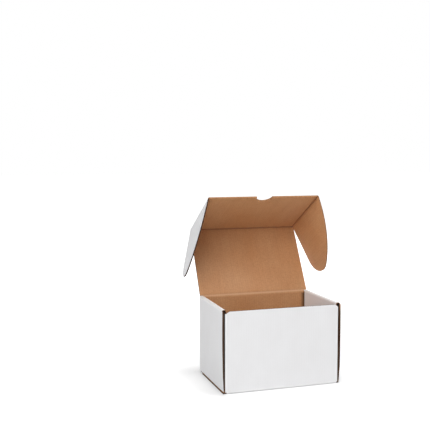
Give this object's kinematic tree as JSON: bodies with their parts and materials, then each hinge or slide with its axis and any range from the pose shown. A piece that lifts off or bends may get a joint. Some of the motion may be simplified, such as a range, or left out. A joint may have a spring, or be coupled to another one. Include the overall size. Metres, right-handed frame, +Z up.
{
  "type": "corrugated mailer box",
  "caption": "Die-cut corrugated board mailer with rolled double side walls, locked floor, hinged lid and a tuck flap with ears, standing open.",
  "frame": {"origin": "on the table under the middle of the tray's base", "axes": "+Z up; the front panel faces -Y and the lid's hinge runs along X at the top of the back panel on the +Y side"},
  "size_m": [0.2054, 0.1552, 0.2438],
  "materials": {
    "white_board": "clay-coated white liner outside, brown kraft liner inside, brown raw edges",
    "kraft_board": "brown kraft liner inside, clay-coated white liner outside, brown raw edges"
  },
  "bodies": {
    "tray": {"tray": "white_board"},
    "lid": {"lid": "kraft_board"},
    "tuck_flap": {"tuck_flap": "kraft_board"},
    "left_ear": {"left_ear": "kraft_board"},
    "right_ear": {"right_ear": "kraft_board"}
  },
  "joints": [
    {"name": "lid_hinge", "type": "hinge", "parent": "tray", "child": "lid", "pos_m": [0, 0.051, 0.10585], "axis": [-1, 0, 0], "range_deg": [-54.5, 60.5]},
    {"name": "tuck_flap_hinge", "type": "hinge", "parent": "lid", "child": "tuck_flap", "pos_m": [0, 0.10256, 0.19353], "axis": [1, 0, 0], "range_deg": [-90, 2]},
    {"name": "left_ear_hinge", "type": "hinge", "parent": "tuck_flap", "child": "left_ear", "pos_m": [-0.0793, 0.10256, 0.19353], "axis": [0, -0.8704, 0.4924], "range_deg": [-74, 16]},
    {"name": "right_ear_hinge", "type": "hinge", "parent": "tuck_flap", "child": "right_ear", "pos_m": [0.0793, 0.10256, 0.19353], "axis": [0, 0.8704, -0.4924], "range_deg": [-74, 16]}
  ]
}
